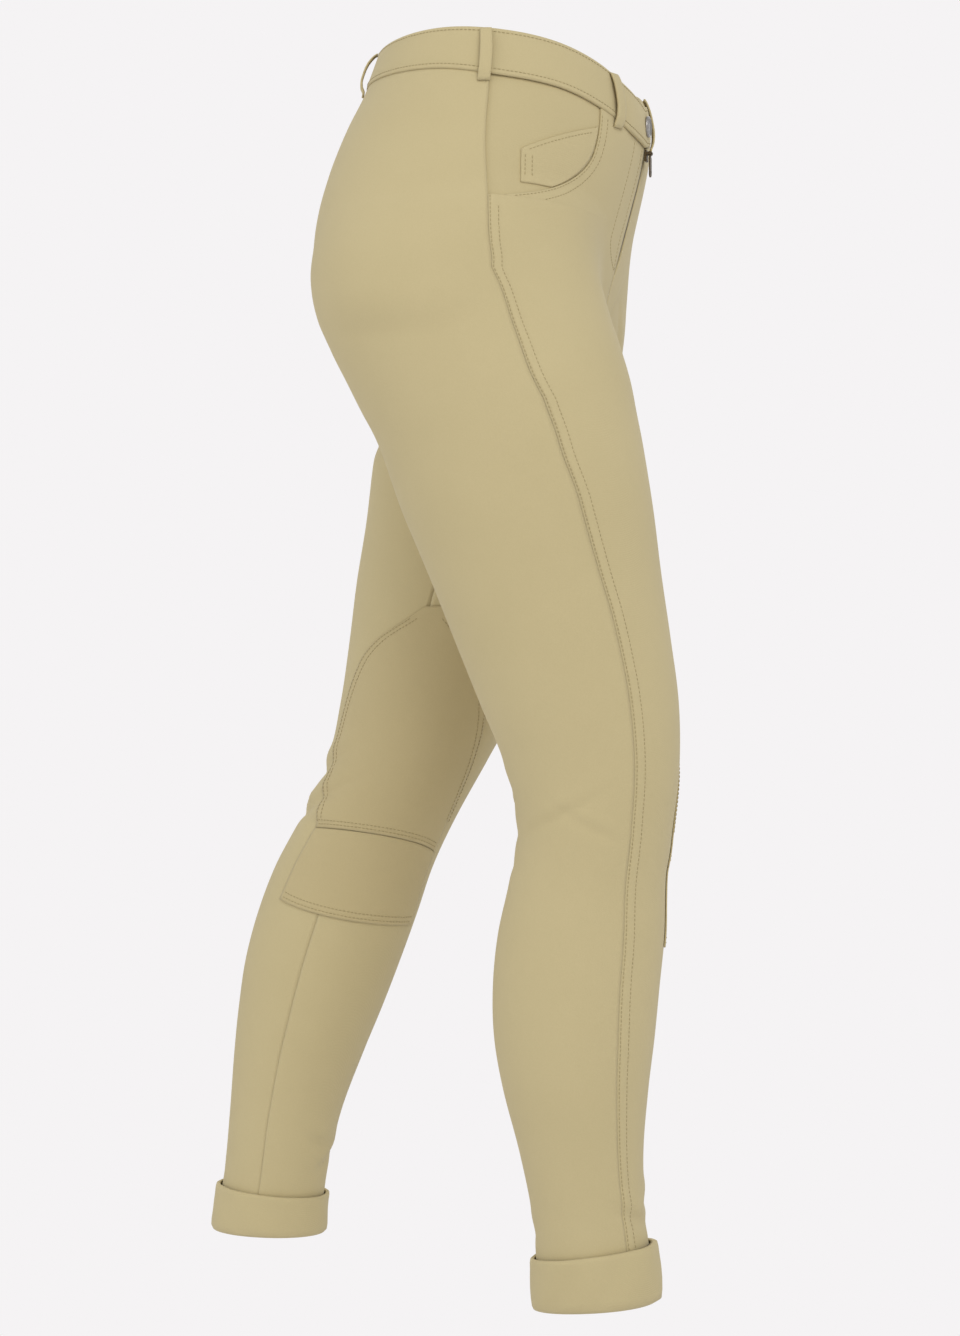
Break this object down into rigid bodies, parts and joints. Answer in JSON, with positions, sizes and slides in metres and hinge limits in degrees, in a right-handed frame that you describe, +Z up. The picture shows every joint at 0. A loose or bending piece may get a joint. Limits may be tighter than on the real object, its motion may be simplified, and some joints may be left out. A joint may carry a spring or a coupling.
{
  "type": "jodhpurs",
  "caption": "Fitted riding trousers in worn, walking form, with waistband, belt loops, scoop pockets, knee patches and turned-up cuffs.",
  "frame": {"origin": "middle of the waist ring, half way up the waistband at the sides, where the wearer holds the garment up", "axes": "+Z up, -Y is the front, +X is the wearer's left"},
  "size_m": [0.3628, 0.4374, 0.9915],
  "materials": {
    "cotton": "matte",
    "patch_cotton": "matte",
    "metal": "satin",
    "zip_chain": "satin"
  },
  "bodies": {
    "garment": {"front_right": "cotton", "back_right": "cotton", "pocket_facing_right": "cotton", "cuff_right": "cotton", "front_left": "cotton", "back_left": "cotton", "pocket_facing_left": "cotton", "cuff_left": "cotton", "waistband": "cotton", "coin_pocket": "cotton", "belt_loop_front_right": "cotton", "belt_loop_side_right": "cotton", "belt_loop_back_right": "cotton", "belt_loop_front_left": "cotton", "belt_loop_side_left": "cotton", "belt_loop_back_left": "cotton", "knee_patch_upper_right": "patch_cotton", "knee_patch_lower_right": "patch_cotton", "knee_patch_upper_left": "patch_cotton", "knee_patch_lower_left": "patch_cotton", "button": "metal", "zip_slider": "metal", "zip_chain": "zip_chain"},
    "zip_pull": {"zip_pull": "metal"}
  },
  "joints": [
    {"name": "zip_pull_hinge", "type": "hinge", "parent": "garment", "child": "zip_pull", "pos_m": [0.008, -0.1166, -0.06], "axis": [-1, 0, 0], "range_deg": [0, 80]}
  ]
}
